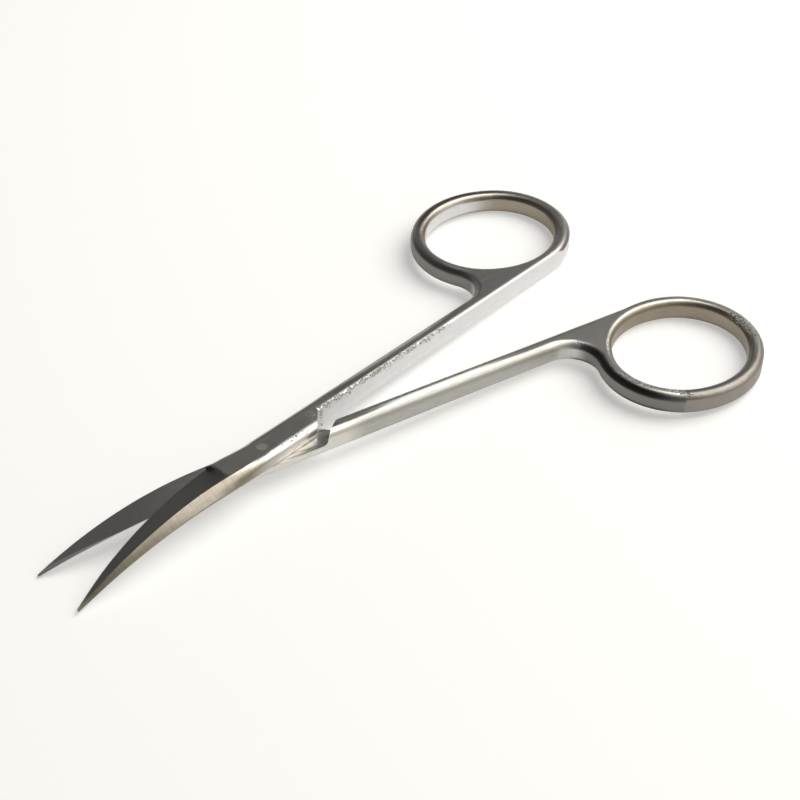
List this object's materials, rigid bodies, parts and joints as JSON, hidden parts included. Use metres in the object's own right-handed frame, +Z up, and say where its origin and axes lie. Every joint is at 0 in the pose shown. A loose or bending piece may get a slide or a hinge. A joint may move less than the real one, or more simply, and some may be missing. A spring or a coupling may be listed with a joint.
{
  "type": "dissecting scissors",
  "caption": "Curved fine-point dissecting scissors: two forged steel halves, each a blade, lap, shank and closed finger ring, turning on a slotted pivot screw.",
  "frame": {"origin": "centre of the bounding box in plan, at its underside, where the blade tips and the finger rings rest on a table", "axes": "+X from the blade tips towards the finger rings, +Y towards the ring of the upper half, +Z up"},
  "size_m": [0.113, 0.0664, 0.0064],
  "materials": {
    "forged_steel": "satin, finely brushed along the piece, with bright ground facets",
    "screw_steel": "satin, end ground flush with the lap"
  },
  "bodies": {
    "lower": {"lower_half": "forged_steel"},
    "upper": {"upper_half": "forged_steel", "pivot_screw": "screw_steel"}
  },
  "joints": [
    {"name": "pivot", "type": "hinge", "parent": "lower", "child": "upper", "pos_m": [-0.02157, 0.00004, 0.00453], "axis": [0.0365, 0, 0.9993], "range_deg": [-15.43, 125]}
  ]
}
